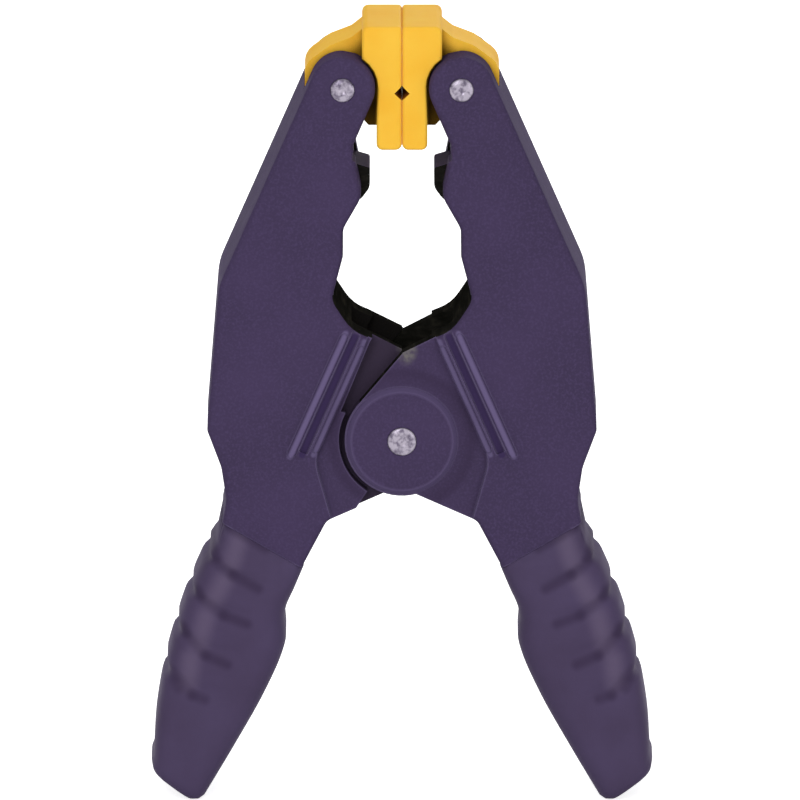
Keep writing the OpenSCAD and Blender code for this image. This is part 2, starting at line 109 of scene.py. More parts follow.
class Shader:
    """A principled material with short calls for its procedural nodes."""

    # Sockets of the Mix node in its colour mode, where names repeat
    MIX_FACTOR, MIX_A, MIX_B, MIX_RESULT = 0, 6, 7, 2
    BEVEL_SAMPLES = 6
    CREVICE_SAMPLES = 8
    BUMP_STRENGTH = 0.6
    # Cosine of the lean at which an edge starts to take the painted highlight, and at which it fully does
    HIGHLIGHT_LEAN = (0.98, 0.8)
    # Openness at which a crevice starts to show, and at which it fully does
    CREVICE_OPENNESS = (0.75, 0.25)

    def __init__(self, name, roughness, specular=0.5, metallic=0.0):
        self.material = bpy.data.materials.new(name)
        self.material.use_nodes = True
        self.tree = self.material.node_tree
        self.bsdf = self.tree.nodes["Principled BSDF"]
        self.set("Roughness", roughness)
        self.set("Specular IOR Level", specular)
        self.set("Metallic", metallic)
        self.place = self.add("ShaderNodeTexCoord").outputs["Object"]

    def set(self, socket, value):
        self.bsdf.inputs[socket].default_value = value

    def add(self, kind, **settings):
        node = self.tree.nodes.new(kind)
        for key, value in settings.items():
            setattr(node, key, value)
        return node

    def link(self, out, into):
        self.tree.links.new(out, into)

    def noise(self, scale, detail=3.0, stretch=None):
        """Noise over the object's own place; scale is in cycles per metre."""
        node = self.add("ShaderNodeTexNoise")
        node.inputs["Scale"].default_value = scale
        node.inputs["Detail"].default_value = detail
        place = self.place
        if stretch:
            mapping = self.add("ShaderNodeMapping")
            mapping.inputs["Scale"].default_value = stretch
            self.link(place, mapping.inputs["Vector"])
            place = mapping.outputs["Vector"]
        self.link(place, node.inputs["Vector"])
        return node.outputs["Fac"]

    def ramp(self, fac, *stops):
        """Straight blend through (position, #rrggbb colour or grey level) stops."""
        node = self.add("ShaderNodeValToRGB")
        elements = node.color_ramp.elements
        while len(elements) < len(stops):
            elements.new(0.5)
        for element, (at, colour) in zip(elements, stops):
            element.position = at
            element.color = linear(colour) if isinstance(colour, str) else [colour] * 3 + [1]
        self.link(fac, node.inputs["Fac"])
        return node.outputs["Color"]

    def paint(self, base, fac, code):
        """A #rrggbb colour laid over base where fac is 1."""
        node = self.add("ShaderNodeMix", data_type="RGBA")
        node.inputs[self.MIX_B].default_value = linear(code)
        self.link(fac, node.inputs[self.MIX_FACTOR])
        self.link(base, node.inputs[self.MIX_A])
        return node.outputs[self.MIX_RESULT]

    def math(self, operation, a, b=None):
        node = self.add("ShaderNodeMath", operation=operation)
        for value, socket in zip((a, b), node.inputs):
            if isinstance(value, (int, float)):
                socket.default_value = value
            elif value is not None:
                self.link(value, socket)
        return node.outputs[0]

    def times(self, a, b):
        return self.math("MULTIPLY", a, b)

    def minus(self, a, b):
        return self.math("SUBTRACT", a, b)

    def between(self, value, low, high):
        """0 below low, 1 above high and smooth between; the two may stand the other way round."""
        node = self.add("ShaderNodeMapRange", interpolation_type="SMOOTHSTEP")
        node.inputs["From Min"].default_value = low
        node.inputs["From Max"].default_value = high
        self.link(value, node.inputs["Value"])
        return node.outputs["Result"]

    def split(self, vector):
        node = self.add("ShaderNodeSeparateXYZ")
        self.link(vector, node.inputs["Vector"])
        return node.outputs

    def apart(self):
        """The object's own x, y and z at the shaded point."""
        return self.split(self.place)

    def off_middle(self, axis):
        """How far the shaded point lies from the clamp's middle along X or Y."""
        return self.math("ABSOLUTE", self.apart()[axis])

    def distance(self, point, stretch):
        """Distance from a point, with each axis stretched."""
        mapping = self.add("ShaderNodeMapping", vector_type="POINT")
        mapping.inputs["Location"].default_value = [-c * k for c, k in zip(point, stretch)]
        mapping.inputs["Scale"].default_value = stretch
        self.link(self.place, mapping.inputs["Vector"])
        length = self.add("ShaderNodeVectorMath", operation="LENGTH")
        self.link(mapping.outputs["Vector"], length.inputs[0])
        return length.outputs["Value"]

    def band(self, value, middle, half, fade):
        """1 where value is within half of middle, fading to 0 over fade."""
        off = self.math("ABSOLUTE", self.minus(value, middle))
        return self.between(off, half + fade, half)

    def streak(self, start, end, half, fade):
        """1 along a line seen from the front, drawn alike on both sides of the middle."""
        run = end - start
        length = run.length
        along_x, along_z = run.x / length, run.z / length
        x = self.minus(self.off_middle("X"), start.x)
        z = self.minus(self.apart()["Z"], start.z)
        along = self.math("ADD", self.times(x, along_x), self.times(z, along_z))
        across = self.minus(self.times(x, along_z), self.times(z, along_x))
        beyond = self.math("ABSOLUTE", self.minus(along, length / 2))
        beyond = self.math("MAXIMUM", self.minus(beyond, length / 2), 0.0)
        squares = self.math("ADD", self.times(beyond, beyond), self.times(across, across))
        return self.between(self.math("POWER", squares, 0.5), half + fade, half)

    def eased_normal(self, radius):
        """The normal as it would be with every edge rounded to a radius."""
        node = self.add("ShaderNodeBevel", samples=self.BEVEL_SAMPLES)
        node.inputs["Radius"].default_value = radius
        return node.outputs["Normal"]

    def highlit_edges(self, radius):
        """1 along edges and 0 on flats, from how far the eased normal leans from the true one, for a
        painted highlight.
        """
        lean = self.add("ShaderNodeVectorMath", operation="DOT_PRODUCT")
        self.link(self.eased_normal(radius), lean.inputs[0])
        self.link(self.add("ShaderNodeNewGeometry").outputs["Normal"], lean.inputs[1])
        return self.between(lean.outputs["Value"], *self.HIGHLIGHT_LEAN)

    def crevice(self, reach):
        """1 where other walls stand close by and 0 in the open."""
        near = self.add("ShaderNodeAmbientOcclusion", samples=self.CREVICE_SAMPLES)
        near.inputs["Distance"].default_value = reach
        return self.between(near.outputs["AO"], *self.CREVICE_OPENNESS)

    def colour(self, out):
        self.link(out, self.bsdf.inputs["Base Color"])

    def roughness(self, fac, low, high):
        node = self.add("ShaderNodeMapRange")
        node.inputs["To Min"].default_value = low
        node.inputs["To Max"].default_value = high
        self.link(fac, node.inputs["Value"])
        self.link(node.outputs["Result"], self.bsdf.inputs["Roughness"])

    def bump(self, *layers, rounding=0.0):
        """Bump from (height, depth) layers, over edges eased by a small radius."""
        normal = self.eased_normal(rounding) if rounding else None
        for height, depth in layers:
            node = self.add("ShaderNodeBump")
            node.inputs["Distance"].default_value = depth
            node.inputs["Strength"].default_value = self.BUMP_STRENGTH
            self.link(height, node.inputs["Height"])
            if normal:
                self.link(normal, node.inputs["Normal"])
            normal = node.outputs["Normal"]
        self.link(normal, self.bsdf.inputs["Normal"])


# ---- Materials ----

# Painted highlights and shade along the outer bead: distance inwards from its crest, how much sooner the
# mark ends, colour, half width and fade, with the lengths in mm. They are the crest's painted highlight,
# the channel's painted shade and the inner crest's painted highlight.
BEAD_LIGHT_AND_SHADE = (
    (0.0, 0.3, "#65597d", 0.25, 0.65),
    (2.2, 1.7, "#3a2e50", 0.45, 0.5),
    (4.4, 2.6, "#5d5273", 0.2, 0.6),
)
# Painted shade in a ring round each hinge disc and a painted highlight on its rim: radius, half width and
# fade
DISC_SHADE_RING = (DISC_R + 1.7 * MM, 1.0 * MM, 2.4 * MM)
DISC_RIM_HIGHLIGHT = (DISC_R - 0.5 * MM, 0.3 * MM, 0.7 * MM)
# Strength of the painted shade ring from the disc's edge outwards, as (radius, strength) stops
DISC_SHADE_STOPS = ((DISC_R + 0.05 * MM, 0.0), (DISC_R + 0.4 * MM, 0.6))
DISC_RIM_HIGHLIGHT_STRENGTH = 0.6
# The marks below start at the first value of each pair and are full at the second.
# Painted shade in the hinge, by the distance from the middle along Y and by that from the rivet
HINGE_SHADE_Y = (LEVER_HALF_T - 0.5 * MM, LEVER_HALF_T - 2.9 * MM)
HINGE_SHADE_REACH = (27 * MM, 21 * MM)
# Painted shade in the throat, by a wall's y times that of its normal and by height
TURNED_IN = (-2 * MM, -4 * MM)
THROAT_SHADE_FROM_BELOW = (PIVOT.z + 11 * MM, PIVOT.z + 14 * MM)
THROAT_SHADE_FROM_ABOVE = (PIVOT.z + 35 * MM, PIVOT.z + 33 * MM)
# The painted highlight in the throat, by the distance from its middle, with each axis stretched
THROAT_HIGHLIGHT_REACH = (2.8 * MM, 0.9 * MM)
THROAT_HIGHLIGHT_STRETCH = (1, 0.25, 0.7)
# How far rounding reaches over the nylon's edges, for its painted edge highlight and for its shading
EDGE_HIGHLIGHT_R = 0.8 * MM
NYLON_EDGE_R = 0.35 * MM


def bead_highlights_and_shade(s, base):
    """Painted highlights on the crests and painted shade in the channel along each pair of beads."""
    inwards = Vector((BEAD_RUN.z, 0, -BEAD_RUN.x))
    for away, early, colour, half, fade in BEAD_LIGHT_AND_SHADE:
        shift = away * MM * inwards
        line = s.streak(BEAD_TOP + shift, BEAD_FOOT - early * MM * BEAD_RUN + shift, half * MM, fade * MM)
        # Each mark is a painted highlight or a painted shade
        base = s.paint(base, line, colour)
    return base


def hinge_shade_and_highlight(s, base):
    """A ring of painted shade round each hinge disc, a painted highlight on its rim, and painted shade in
    the hinge's deep parts.
    """
    from_pivot = s.distance(PIVOT, (1, 0, 1))
    ring_shade = s.times(s.band(from_pivot, *DISC_SHADE_RING), s.ramp(from_pivot, *DISC_SHADE_STOPS))
    # Painted shade round the disc's foot, then a painted highlight on its rim
    base = s.paint(base, ring_shade, "#33283f")
    base = s.paint(base, s.times(s.band(from_pivot, *DISC_RIM_HIGHLIGHT), DISC_RIM_HIGHLIGHT_STRENGTH), "#5a4e70")
    # Painted shade in the hinge's deep parts
    deep_shade = s.times(s.between(s.off_middle("Y"), *HINGE_SHADE_Y), s.between(from_pivot, *HINGE_SHADE_REACH))
    return s.paint(base, deep_shade, "#3a3142")


def throat_shade_and_highlight(s, base):
    """Painted shade on the inner sides of the throat, and a patchy painted highlight where the lugs meet in
    it.
    """
    normal = s.split(s.add("ShaderNodeNewGeometry").outputs["Normal"])
    turned_in = s.between(s.times(normal["Y"], s.apart()["Y"]), *TURNED_IN)
    z = s.apart()["Z"]
    in_throat = s.times(s.between(z, *THROAT_SHADE_FROM_BELOW), s.between(z, *THROAT_SHADE_FROM_ABOVE))
    # Painted shade on the walls of the throat that face the middle
    base = s.paint(base, s.times(turned_in, in_throat), "#1f1d1c")
    # A patchy painted highlight where the lugs meet in the throat
    highlight_spot = s.between(s.distance(THROAT_FOOT, THROAT_HIGHLIGHT_STRETCH), *THROAT_HIGHLIGHT_REACH)
    patchiness = s.ramp(s.noise(800.0), (0.35, 0.2), (0.6, 0.75))
    return s.paint(base, s.times(highlight_spot, patchiness), "#74716c")


def nylon():
    """Glass-filled nylon: spark-textured, a little mottled, with a painted highlight along its edges."""
    s = Shader("purple_nylon", 0.6, specular=0.01)
    base = s.ramp(s.noise(60.0, 4.0), (0.3, "#403650"), (0.7, "#463a58"))
    base = s.paint(base, s.ramp(s.noise(1900.0, 2.0), (0.45, 0.0), (0.75, 1.0)), "#4a3e5e")
    # Painted highlight along every edge, where the rounded edges catch the light
    base = s.paint(base, s.highlit_edges(EDGE_HIGHLIGHT_R), "#615676")
    s.colour(throat_shade_and_highlight(s, hinge_shade_and_highlight(s, bead_highlights_and_shade(s, base))))
    s.roughness(s.noise(260.0), 0.5, 0.64)
    s.bump((s.noise(1500.0, 2.0), 0.06 * MM), (s.noise(5200.0, 1.0), 0.03 * MM), rounding=NYLON_EDGE_R)
    return s.material


def hinge_in_shade():
    """The inside of the hinge, painted near black as shade, with a mottle in its colour, roughness and
    bumps.
    """
    s = Shader("hinge_painted_shade", 0.75, specular=0.0)
    mottle = s.noise(420.0, 5.0, stretch=(1.0, 0.25, 2.2))
    # Near-black painted shade, mottled
    s.colour(s.ramp(mottle, (0.32, "#161613"), (0.55, "#201f1c"), (0.75, "#302e27")))
    s.roughness(mottle, 0.6, 0.85)
    s.bump((mottle, 0.2 * MM))
    return s.material


# On each finger lobe the shoulder gets a painted highlight. A mark is x, z of its start and x, z of its end
# in mm, on the +x side.
GRIP_SHOULDER_HIGHLIGHTS = (
    (34.6, 58.5, 36.2, 53.0),
    (38.1, 48.7, 40.2, 44.5),
    (41.8, 40.8, 43.1, 35.0),
    (45.0, 31.5, 45.4, 26.5),
)
# The creases between the lobes get painted shade: marks with the strength of each
GRIP_CREASE_SHADE = (
    # Under the seam, then from each lobe's foot inwards over the face
    (37.9, 61.4, 29.0, 56.3, 0.5),
    (36.0, 50.3, 30.6, 47.3, 0.5),
    (37.9, 41.4, 33.0, 39.6, 0.5),
    (41.8, 32.6, 37.2, 30.6, 0.5),
    (44.6, 23.8, 42.0, 22.9, 0.45),
    # From there outwards to the notch
    (40.2, 53.5, 36.0, 50.3, 0.35),
    (43.9, 45.8, 37.9, 41.4, 0.35),
    (46.6, 37.5, 41.8, 32.6, 0.35),
    (48.9, 28.9, 44.6, 23.8, 0.35),
    # Darkest painted shade beside the notch
    (39.9, 55.0, 39.3, 53.9, 0.5),
    (43.3, 46.5, 42.8, 45.4, 0.5),
    (46.4, 38.3, 45.9, 37.2, 0.5),
    (48.4, 26.6, 47.6, 25.2, 0.4),
)
MARK_HALF_W = 0.1 * MM
SHOULDER_HIGHLIGHT_FADE = 3.4 * MM
SHOULDER_HIGHLIGHT_STRENGTH = 0.7
CREASE_SHADE_FADE = 1.8 * MM
GRIP_EDGE_R = 1.2 * MM


def grip_painted_light(s, ends, fade, strength):
    """How strongly a painted highlight or shade on the grips shows, from the x and z of its two ends in mm.
    """
    x0, z0, x1, z1 = ends
    line = s.streak(Vector((x0, 0, z0)) * MM, Vector((x1, 0, z1)) * MM, MARK_HALF_W, fade)
    return s.times(line, strength)


def grip_rubber():
    """Satin moulded grip, a little lighter and smoother than the levers, with painted highlights on the
    lobes' shoulders and painted shade in their creases.
    """
    s = Shader("purple_grip", 0.55, specular=0.02)
    base = s.ramp(s.noise(75.0, 4.0), (0.3, "#493e58"), (0.7, "#4f4461"), (0.95, "#51445f"))
    for ends in GRIP_SHOULDER_HIGHLIGHTS:
        # Painted highlight on each lobe's shoulder
        base = s.paint(base, grip_painted_light(s, ends, SHOULDER_HIGHLIGHT_FADE, SHOULDER_HIGHLIGHT_STRENGTH), "#62566f")
    for *ends, strength in GRIP_CREASE_SHADE:
        # Painted shade in the creases between the lobes
        base = s.paint(base, grip_painted_light(s, ends, CREASE_SHADE_FADE, strength), "#33283f")
    s.colour(base)
    s.roughness(s.noise(300.0), 0.46, 0.6)
    s.bump((s.noise(2600.0, 2.0), 0.04 * MM), rounding=GRIP_EDGE_R)
    return s.material


# Painted shade, brown, in the pads' corners: how near other walls stand, and the distances from the middle
# along X at which it starts and is full
CORNER_REACH = 3.5 * MM
CORNERS_ASIDE = (3 * MM, 5 * MM)
# The darkest painted shade, low on the web, starts and is full at these distances from the middle along Y,
# these heights and these distances along X
WEB_Y = (6.2 * MM, 5.2 * MM)
WEB_LOW = (PAD_PIN.z - 2 * MM, PAD_PIN.z - 5 * MM)
WEB_ASIDE = (5.2 * MM, 5.8 * MM)


def pad_plastic():
    """Tough yellow plastic, with painted shade in its hollows and corners and the darkest painted shade low
    on its web.
    """
    s = Shader("yellow_pad", 0.5, specular=0.02)
    s.set("Subsurface Weight", 0.1)
    s.set("Subsurface Radius", (3 * MM, 1.5 * MM, 0.5 * MM))
    s.set("Subsurface Scale", 0.5)
    base = s.ramp(s.noise(110.0, 4.0), (0.3, "#f4b93a"), (0.7, "#f7c446"))
    # Painted shade, a deeper orange, in the pads' hollows
    pointiness = s.add("ShaderNodeNewGeometry").outputs["Pointiness"]
    base = s.paint(base, s.ramp(pointiness, (0.44, 1.0), (0.5, 0.0)), "#dfa21c")
    # Painted shade where other walls stand close
    corner_shade = s.times(s.crevice(CORNER_REACH), s.between(s.off_middle("X"), *CORNERS_ASIDE))
    base = s.paint(base, corner_shade, "#6a4c0a")
    # Painted shade low on the web, between the neck and the lever
    web_shade = s.times(s.between(s.off_middle("Y"), *WEB_Y), s.between(s.apart()["Z"], *WEB_LOW))
    web_shade = s.times(web_shade, s.between(s.off_middle("X"), *WEB_ASIDE))
    s.colour(s.paint(base, web_shade, "#3f2b08"))
    s.roughness(s.noise(500.0), 0.42, 0.56)
    s.bump((s.noise(1700.0, 2.0), 0.04 * MM))
    return s.material


def groove_in_shade():
    """The square groove for round work, in the middle of the gripping face, painted brown as shade."""
    s = Shader("groove_in_shade", 0.6, specular=0.1)
    # Brown painted shade in the groove
    s.colour(s.ramp(s.noise(900.0), (0.35, "#8a4a08"), (0.65, "#a8600e")))
    s.bump((s.noise(1700.0, 2.0), 0.04 * MM))
    return s.material


def rivet_steel():
    """Bright steel, dulled in the marks of the riveting punch."""
    s = Shader("rivet_steel", 0.34, metallic=1.0)
    marks = s.noise(800.0)
    s.colour(s.ramp(marks, (0.36, "#625b6b"), (0.56, "#9b94a1")))
    s.roughness(marks, 0.3, 0.5)
    s.bump((marks, 0.12 * MM))
    return s.material


def spring_wire():
    """Oiled spring wire, a little uneven in its colour."""
    s = Shader("spring_wire", 0.38, metallic=1.0)
    s.colour(s.ramp(s.noise(700.0), (0.35, "#56544b"), (0.7, "#6f6d62")))
    s.roughness(s.noise(900.0), 0.3, 0.5)
    s.bump((s.noise(3000.0, 2.0), 0.03 * MM))
    return s.material


NYLON = nylon()
HINGE_SHADE_MATERIAL = hinge_in_shade()
GRIP = grip_rubber()
PAD = pad_plastic()
GROOVE_SHADE = groove_in_shade()
RIVET = rivet_steel()
WIRE = spring_wire()

# ---- Mesh helpers ----

# A corner closer than this is the same one, and a bend below this angle is flat
MERGE = 0.002 * MM
FLAT_ANGLE = math.radians(0.4)
# Share of y in the normal of a face that belongs to the flat front or back
FRONT_Y = 0.999
# Faces that meet at less than this angle are shaded as one
SMOOTH_BELOW = math.cos(math.radians(36))


def new_object(name, data, *materials):
    for material in materials:
        data.materials.append(material)
    piece = bpy.data.objects.new(name, data)
    bpy.context.scene.collection.objects.link(piece)
    return piece


def stand_in(piece, node, body):
    """The piece takes the place of a CAD node and moves with its body."""
    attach(piece, body)
    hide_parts(node)


def mesh_piece(name, bm, *materials):
    """A smooth-shaded piece from a mesh in the making."""
    mesh = bpy.data.meshes.new(name)
    bm.to_mesh(mesh)
    bm.free()
    for polygon in mesh.polygons:
        polygon.use_smooth = True
    return new_object(name, mesh, *materials)


def cleaned_copy(node, name, rework, *materials):
    """A copy of a node's mesh with its flat faces joined up again and its shape reworked."""
    bm = bmesh.new()
    bm.from_mesh(nodes[node].data)
    bmesh.ops.remove_doubles(bm, verts=bm.verts, dist=MERGE)
    bmesh.ops.dissolve_limit(bm, angle_limit=FLAT_ANGLE, verts=bm.verts, edges=bm.edges)
    rework(bm)
    return mesh_piece(name, bm, *materials)


def blend(value, none, full):
    """0 at none and 1 at full, smooth between; the two may stand the other way round."""
    t = min(1, max(0, (value - none) / (full - none)))
    return t * t * (3 - 2 * t)


def shade(piece):
    """Flat front and back faces, and smooth curved walls that run into them without a break."""
    mesh = piece.data
    around = [[] for _ in mesh.vertices]
    for face in mesh.polygons:
        for corner in face.vertices:
            around[corner].append(face)
    normals = [None] * len(mesh.loops)
    for face in mesh.polygons:
        for loop in face.loop_indices:
            beside = [f for f in around[mesh.loops[loop].vertex_index]
                      if f.normal.dot(face.normal) > SMOOTH_BELOW]
            flats = [f for f in beside if abs(f.normal.y) > FRONT_Y]
            if abs(face.normal.y) > FRONT_Y:
                flats = [face]
            total = Vector((0, 0, 0))
            for f in flats or beside:
                total += f.normal * f.area
            normals[loop] = total.normalized()
    mesh.normals_split_custom_set(normals)


# ---- Levers ----

TIP_R = 6.9 * MM
# The edge rounding reaches this far in from the tip's radius, and its flats are at least this long
TIP_EDGE = 2 * MM
TIP_FLAT = 1.5 * MM
# Cuts that make a round of one flat
TIP_CUTS = 3
# Half width and depth of the bead's end, which moves on as a whole
BEAD_HALF_W = 1.05 * MM
BEAD_CAP = 1.3 * MM
# The crown of the lugs: its lift, and where that starts and is full, from the clamp's middle and
# up and down from the pivot's height
CROWN_LIFT = 0.9 * MM
CROWN_ACROSS = (12 * MM, 4 * MM)
CROWN_FROM_BELOW = (12 * MM, 16 * MM)
CROWN_FROM_ABOVE = (32 * MM, 24 * MM)
# Half width and half depth within which the hinge's walls are painted in shade
HOLLOW_X = 16 * MM
HOLLOW_Y = 11.9 * MM
# Half depth within which walls that look to the front or back are painted in shade
LUG_Y = 7 * MM
# Half depth of the space round the spring, and the heights of it and of the throat
CAVITY_Y = 6.3 * MM
CAVITY_LOW = PIVOT.z - 34 * MM
THROAT_LOW = PIVOT.z + 12 * MM
THROAT_HIGH = PIVOT.z + 34 * MM
# Share of y in the normal of a face that looks to the front or back
SIDEWAYS = 0.6


def round_tip(bm, centre):
    """Turn the few flats of the lever's tip into a true round about its pin."""
    def reach(vertex):
        return math.hypot(vertex.co.x - centre.x, vertex.co.z - centre.z)

    def is_flat(edge):
        a, b = edge.verts
        level = abs(a.co.y - b.co.y) < TINY
        on_round = abs(reach(a) - reach(b)) < 2 * TINY
        at_tip = TIP_R - TIP_EDGE < reach(a) < TIP_R + 10 * TINY
        return edge.calc_length() > TIP_FLAT and level and on_round and at_tip

    flats = [e for e in bm.edges if is_flat(e)]
    spans = [(e.verts[0].co.copy(), e.verts[1].co.copy(), reach(e.verts[0])) for e in flats]
    made = bmesh.ops.subdivide_edges(bm, edges=flats, cuts=TIP_CUTS, use_grid_fill=True)
    for vertex in [item for item in made["geom_inner"] if isinstance(item, bmesh.types.BMVert)]:
        for a, b, wanted in spans:
            span = b - a
            along = (vertex.co - a).dot(span) / span.length_squared
            if 0 < along < 1 and (vertex.co - a - along * span).length < TINY:
                grow = wanted / reach(vertex)
                vertex.co.x = centre.x + (vertex.co.x - centre.x) * grow
                vertex.co.z = centre.z + (vertex.co.z - centre.z) * grow
                break


def longer_bead(bm):
    """Carry the upper end of the outer bead on towards the rim of the throat."""
    more = (BEAD_TOP - BEAD_END).length
    for vertex in bm.verts:
        place = Vector((abs(vertex.co.x), 0, vertex.co.z)) - BEAD_END
        along = place.dot(BEAD_RUN)
        across = place.x * BEAD_RUN.z - place.z * BEAD_RUN.x
        at_end = -10 * TINY < along < BEAD_CAP and abs(across) < BEAD_HALF_W
        if at_end and abs(vertex.co.y) > LEVER_HALF_T - TINY:
            vertex.co.x -= math.copysign(1, vertex.co.x) * BEAD_RUN.x * more
            vertex.co.z -= BEAD_RUN.z * more


def raise_crown(bm):
    """Lift the crown of the lugs in the throat a little, alike on both levers."""
    for vertex in bm.verts:
        above = vertex.co.z - PIVOT.z
        lift = CROWN_LIFT * blend(abs(vertex.co.x), *CROWN_ACROSS)
        vertex.co.z += lift * blend(above, *CROWN_FROM_BELOW) * blend(above, *CROWN_FROM_ABOVE)


def in_painted_shade(face):
    """Whether a face is a wall of the throat or of the space round the spring, which is painted in shade.
    """
    x, y, z = face.center
    if abs(x) > HOLLOW_X or abs(y) > HOLLOW_Y:
        return False
    if abs(face.normal.y) > SIDEWAYS:
        return abs(y) < LUG_Y and z > PIVOT.z
    in_cavity = abs(y) < CAVITY_Y and CAVITY_LOW < z < THROAT_HIGH
    in_throat = face.normal.z > 0 and THROAT_LOW < z < THROAT_HIGH
    return in_cavity or in_throat


def make_lever(side):
    def rework(bm):
        round_tip(bm, pad_pin_at(side))
        longer_bead(bm)
        raise_crown(bm)

    node = side + "_lever"
    piece = cleaned_copy(node, node + "_moulding", rework, NYLON, HINGE_SHADE_MATERIAL)
    # The walls of the throat and of the space round the spring take the painted shade material
    for polygon in piece.data.polygons:
        polygon.material_index = 1 if in_painted_shade(polygon) else 0
    shade(piece)
    stand_in(piece, node, side + "_half")


# ---- Grips ----

# The swell above the first lobe: how much it is eased, and where that starts and is full, from
# above, from below and outwards
SWELL_EASE = 1.1 * MM
SWELL_FROM_ABOVE = (63 * MM, 58.5 * MM)
SWELL_FROM_BELOW = (54.3 * MM, 56.5 * MM)
SWELL_OUTWARDS = (33 * MM, 38 * MM)


def flatter_top(bm):
    """Ease the swell above the first finger lobe, where the sleeve leaves the lever."""
    bm.normal_update()
    for vertex in bm.verts:
        if vertex.normal.x * vertex.co.x < 0:
            continue
        swell = blend(vertex.co.z, *SWELL_FROM_ABOVE) * blend(vertex.co.z, *SWELL_FROM_BELOW)
        outside = blend(abs(vertex.co.x), *SWELL_OUTWARDS)
        vertex.co.x -= math.copysign(SWELL_EASE * swell * outside, vertex.co.x)


def make_grip(side):
    node = side + "_grip"
    piece = cleaned_copy(node, node + "_sleeve", flatter_top, GRIP)
    stand_in(piece, node, side + "_half")


# ---- Jaw pads ----

# A gripping face lies nearer to the middle plane than this, and ends up this far from it
FACE_NEAR = 0.06 * MM
FACE_GAP = 0.004 * MM
# The groove's two slopes lie within this radius of its middle
VEE_REACH = 2 * MM
# Share of x and of z in the normal of such a slope
SLANT_LOW, SLANT_HIGH = 0.5, 0.9
# Moulded radius of the pads' edges, where faces meet at more than the angle
PAD_EDGE_R = 0.3 * MM
PAD_EDGE_ANGLE = math.radians(30)
PAD_EDGE_SEGMENTS = 3
# How much more the large faces count in the shading across an edge
LARGE_FACE_WEIGHT = 60


def close_seam(bm):
    """Bring the gripping face up to the middle plane, so that no light passes at rest."""
    for vertex in bm.verts:
        if abs(vertex.co.x) < FACE_NEAR:
            vertex.co.x = math.copysign(FACE_GAP, vertex.co.x)


def in_groove(face):
    """Whether a face is a slope of the square groove for round work."""
    off = face.center - VEE
    slanted = all(SLANT_LOW < abs(share) < SLANT_HIGH for share in (face.normal.x, face.normal.z))
    return slanted and math.hypot(off.x, off.z) < VEE_REACH


def soften(piece):
    """Small moulded radius on every sharp edge, and smooth shading across it."""
    bevel = piece.modifiers.new("edge_radius", "BEVEL")
    bevel.width = PAD_EDGE_R
    bevel.segments = PAD_EDGE_SEGMENTS
    bevel.limit_method = "ANGLE"
    bevel.angle_limit = PAD_EDGE_ANGLE
    weighted = piece.modifiers.new("weighted_normals", "WEIGHTED_NORMAL")
    weighted.weight = LARGE_FACE_WEIGHT


def make_pad(side):
    node = side + "_pad"
    piece = cleaned_copy(node, node + "_moulding", close_seam, PAD, GROOVE_SHADE)
    # The groove's slopes take the painted shade material
    for polygon in piece.data.polygons:
        polygon.material_index = 1 if in_groove(polygon) else 0
    soften(piece)
    stand_in(piece, node, side + "_jaw")


# ---- Rivet and pins ----

# Height of a head in the solid, and how much lower the dome is than that
HEAD_H = 0.8 * MM
DOME_DROP = 0.02 * MM
DOME_STEPS = 7
# Radius of the shank, of the head and of the dent in its middle
RIVET_RADII = (2.6 * MM, 3.1 * MM, 1.2 * MM)
PIN_RADII = (2.0 * MM, 2.6 * MM, 0.9 * MM)
# The dent's profile: share of its radius, and depth below the dome where it starts
DENT_PROFILE = ((0.92, 0.05 * MM), (0.6, 0.22 * MM), (0.15, 0.28 * MM))
# Depth of the marks that the riveting punch leaves, and how many there are to a metre
PUNCH_DEPTH = 0.05 * MM
PUNCH_SCALE = 900.0
TURNED_SIDES = 48


def turned(name, profile, centre, material):
    """Solid of revolution along Y from (radius, y) points, centred on a point."""
    bm = bmesh.new()
    angles = [2 * math.pi * k / TURNED_SIDES for k in range(TURNED_SIDES)]
    rings = [[bm.verts.new(centre + Vector((radius * math.cos(a), y, radius * math.sin(a))))
              for a in angles] for radius, y in profile]
    for low, high in zip(rings, rings[1:]):
        for k in range(TURNED_SIDES):
            after = (k + 1) % TURNED_SIDES
            bm.faces.new((low[k], low[after], high[after], high[k]))
    bm.faces.new(rings[0][::-1])
    bm.faces.new(rings[-1])
    bmesh.ops.recalc_face_normals(bm, faces=bm.faces)
    return mesh_piece(name, bm, material)


def headed(name, centre, end_y, shank_r, head_r, dent_r):
    """Pin with a peened head at both ends: a low dome with a punched dent in its middle."""
    half_length = end_y - HEAD_H
    dome = []
    for i in range(DOME_STEPS + 1):
        a = 0.5 * math.pi * i / DOME_STEPS
        dome.append((head_r * math.cos(a), (HEAD_H - DOME_DROP) * math.sin(a)))
    dome = [(r, h) for r, h in dome if r > dent_r]
    crown = dome[-1][1]
    dome += [(dent_r * share, crown - depth) for share, depth in DENT_PROFILE]
    front = [(r, -half_length - h) for r, h in reversed(dome)]
    back = [(r, half_length + h) for r, h in dome]
    shank = [(head_r, -half_length), (shank_r, -half_length), (shank_r, half_length), (head_r, half_length)]
    piece = turned(name, front[:-1] + shank + back[1:], centre, RIVET)
    for vertex in piece.data.vertices:
        if abs(vertex.co.y) - half_length > 10 * TINY:
            bend = PUNCH_DEPTH * noise.noise(vertex.co * PUNCH_SCALE)
            vertex.co.y += math.copysign(bend, vertex.co.y)
    return piece


def make_pins():
    rivet = headed("pivot_rivet_peened", PIVOT, rivet_hi.y, *RIVET_RADII)
    stand_in(rivet, "pivot_rivet", "left_half")
    for side in ("left", "right"):
        pin = headed(side + "_pad_pin_peened", pad_pin_at(side), pin_hi.y, *PIN_RADII)
        stand_in(pin, side + "_pad_pin", side + "_half")


# ---- Spring ----

WIRE_D = 2.2 * MM
